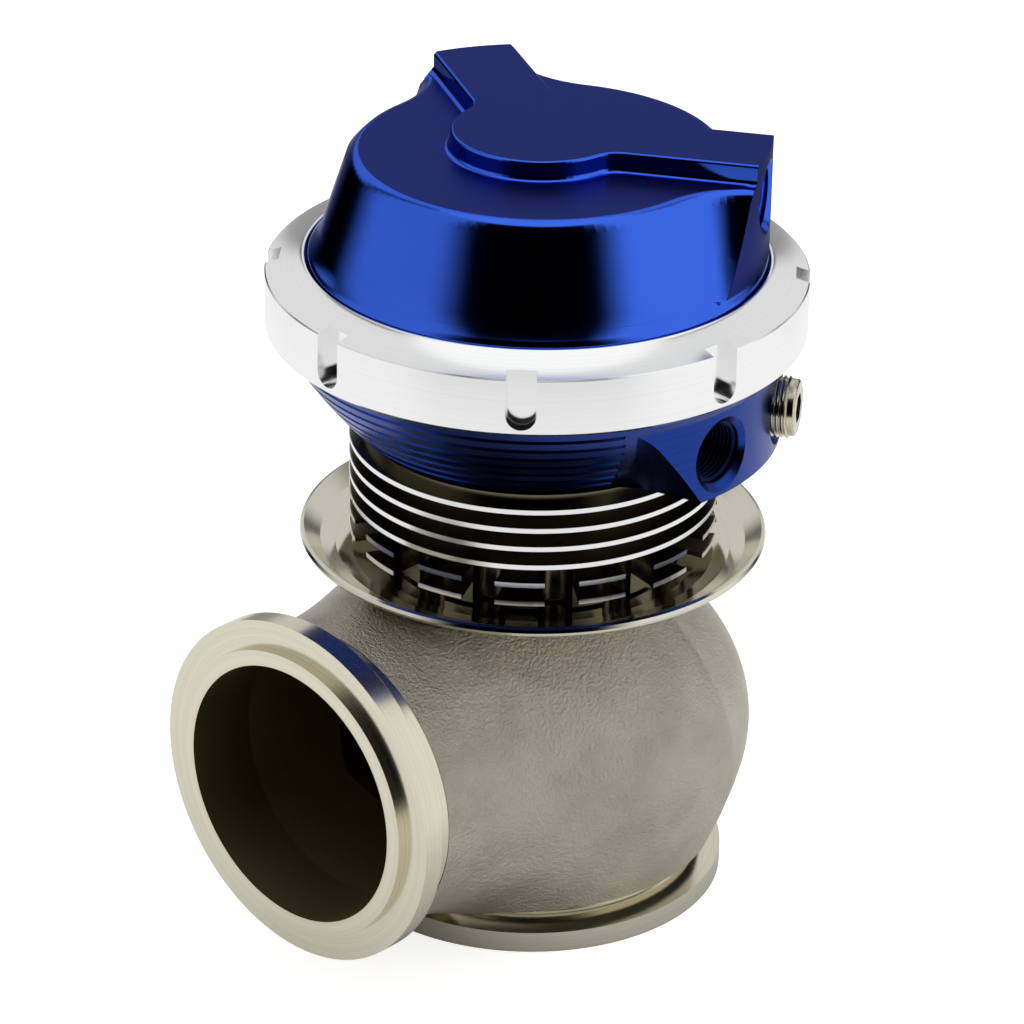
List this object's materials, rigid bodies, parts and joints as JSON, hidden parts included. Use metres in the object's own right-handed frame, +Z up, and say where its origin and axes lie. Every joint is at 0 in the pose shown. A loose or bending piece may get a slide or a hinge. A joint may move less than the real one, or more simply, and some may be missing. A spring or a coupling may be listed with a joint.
{
  "type": "turbo wastegate",
  "caption": "External exhaust wastegate: flanged cast valve body with side outlet, heat shield, finned barrel, and a sprung diaphragm actuator under a cap held by a ring nut.",
  "frame": {"origin": "centre of the inlet flange's lower face", "axes": "+Z up along the valve's axis towards the cap, -Y along the outlet, +X towards the air ports of the lower housing"},
  "size_m": [0.088, 0.1011, 0.1331],
  "materials": {
    "cast_stainless": "sand-blasted investment casting",
    "machined_stainless": "turned",
    "polished_stainless": "polished, spun sheet",
    "blue_anodised": "satin anodised",
    "black_anodised": "anodised, fin edges turned bright",
    "bright_aluminium": "fine turned",
    "plated_steel": "nickel plated",
    "black_steel": "black oxide",
    "spring_steel": "oiled spring wire",
    "valve_steel": "ground heat-resistant steel",
    "bronze": "machined",
    "rubber": "moulded, fabric reinforced",
    "seal_plastic": "filled sealing plastic"
  },
  "bodies": {
    "root": {"valve_housing": "cast_stainless", "valve_seat": "machined_stainless", "seat_circlip": "spring_steel", "valve_guide": "bronze", "heat_shield": "polished_stainless", "shield_gasket": "machined_stainless", "finned_barrel": "black_anodised", "barrel_bolts": "black_steel", "lower_housing": "blue_anodised", "port_plug": "plated_steel", "housing_screws": "black_steel", "housing_oring": "rubber", "stem_seal": "seal_plastic", "diaphragm": "rubber", "index_pin": "plated_steel"},
    "valve": {"valve": "valve_steel", "piston": "bright_aluminium", "spring_retainer": "plated_steel", "stem_nut": "plated_steel"},
    "cap": {"actuator_cap": "blue_anodised", "outer_spring": "spring_steel", "inner_spring": "spring_steel"},
    "collar": {"locking_collar": "bright_aluminium"}
  },
  "joints": [
    {"name": "valve_lift", "type": "slide", "parent": "root", "child": "valve", "axis": [0, 0, 1], "range_m": [0, 0.011], "stiffness_N_per_m": 15000, "springref_m": -0.01, "deforming": ["diaphragm", "outer_spring", "inner_spring"]},
    {"name": "cap_rise", "type": "slide", "parent": "root", "child": "cap", "axis": [0, 0, 1], "range_m": [0, 0.0045]},
    {"name": "collar_turn", "type": "hinge", "parent": "cap", "child": "collar", "pos_m": [0, 0, 0.1045], "axis": [0, 0, 1], "range_deg": [0, 1080]}
  ],
  "couplings": [
    {"joint": "cap_rise", "follows": "collar_turn", "m_per_rad": 0.000238}
  ]
}
